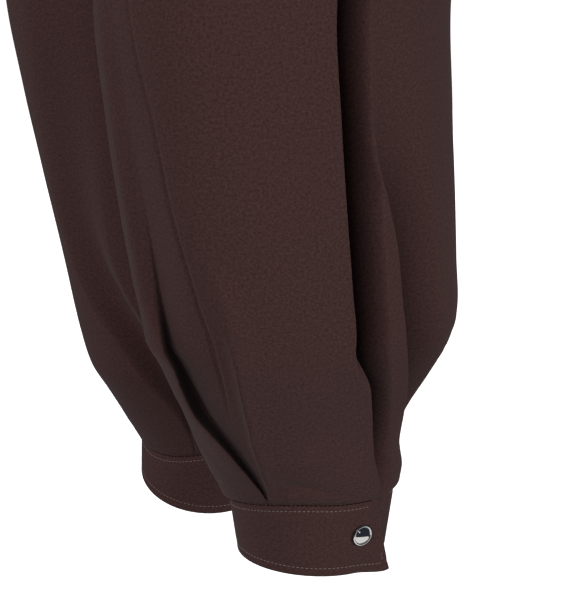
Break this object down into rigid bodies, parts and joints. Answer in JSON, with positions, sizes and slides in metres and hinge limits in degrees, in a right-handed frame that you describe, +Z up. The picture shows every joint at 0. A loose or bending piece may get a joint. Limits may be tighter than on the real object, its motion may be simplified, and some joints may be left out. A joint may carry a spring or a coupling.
{
  "type": "balloon-leg trousers with pleated snap cuffs",
  "caption": "Full-length balloon-leg trousers filled out as worn, with a lapped snap waistband and legs pleated into narrow lapped cuffs that close with domed snaps above the ankle.",
  "frame": {"origin": "centre of the waist opening at the waistband's top edge, where a wearer's waist holds the trousers", "axes": "+Z up out of the waist, -Y the trousers' front, +X the wearer's left; the legs hang toward -Z"},
  "size_m": [0.368, 0.2741, 1.0098],
  "materials": {
    "cloth": "matte dark brown twill",
    "snap": "polished dome"
  },
  "bodies": {
    "root": {"waistband": "cloth", "waist_snap": "snap", "front_left": "cloth", "back_left": "cloth", "cuff_left": "cloth", "cuff_snap_left": "snap", "front_right": "cloth", "back_right": "cloth", "cuff_right": "cloth", "cuff_snap_right": "snap"}
  },
  "joints": []
}
